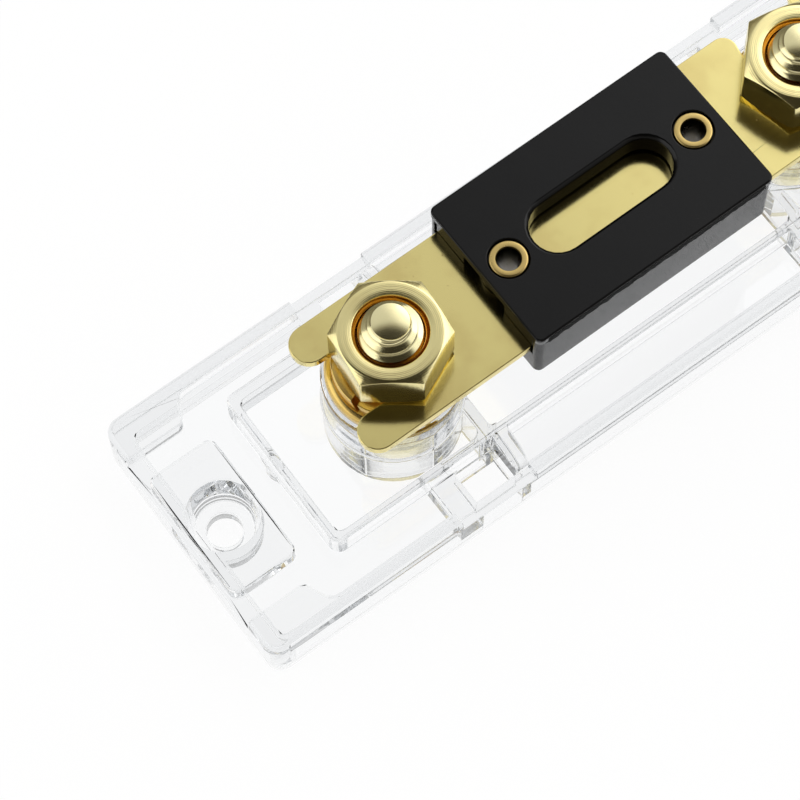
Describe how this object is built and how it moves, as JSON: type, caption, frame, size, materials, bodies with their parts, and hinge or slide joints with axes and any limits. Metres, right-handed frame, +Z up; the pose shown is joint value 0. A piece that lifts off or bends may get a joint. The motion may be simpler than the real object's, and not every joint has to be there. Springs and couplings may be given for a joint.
{
  "type": "anl fuse holder",
  "caption": "Clear moulded fuse holder with captive hex bolts, washers and nuts that clamp a flat bolt-down fuse in a black body.",
  "frame": {"origin": "centre of the base's footprint, on the surface it stands on", "axes": "+X along the fuse towards its hook end, +Y across the base, +Z up along the bolts"},
  "size_m": [0.1232, 0.0366, 0.0332],
  "materials": {
    "clear_plastic": "clear, polished",
    "bolt_gold": "gold plated, turned",
    "washer_gold": "gold plated",
    "nut_gold": "gold plated, bright",
    "blade_gold": "gold plated, mirror-bright",
    "black_plastic": "black, satin gloss",
    "eyelet_brass": "bright brass"
  },
  "bodies": {
    "holder": {"base": "clear_plastic", "stud_bolt_left": "bolt_gold", "stud_bolt_right": "bolt_gold", "flat_washer_left": "washer_gold", "flat_washer_right": "washer_gold", "spring_washer_left": "washer_gold", "spring_washer_right": "washer_gold", "fuse_blade": "blade_gold", "fuse_body_tray": "black_plastic", "fuse_body_lid": "black_plastic", "eyelet_left": "eyelet_brass", "eyelet_right": "eyelet_brass"},
    "left_nut": {"nut_left": "nut_gold"},
    "right_nut": {"nut_right": "nut_gold"}
  },
  "joints": [
    {"name": "left_nut_turn", "type": "hinge", "parent": "holder", "child": "left_nut", "pos_m": [-0.0306, 0, 0.02655], "axis": [0, 0, 1], "range_deg": [0, 90]},
    {"name": "right_nut_turn", "type": "hinge", "parent": "holder", "child": "right_nut", "pos_m": [0.0306, 0, 0.02655], "axis": [0, 0, 1], "range_deg": [0, 90]}
  ]
}
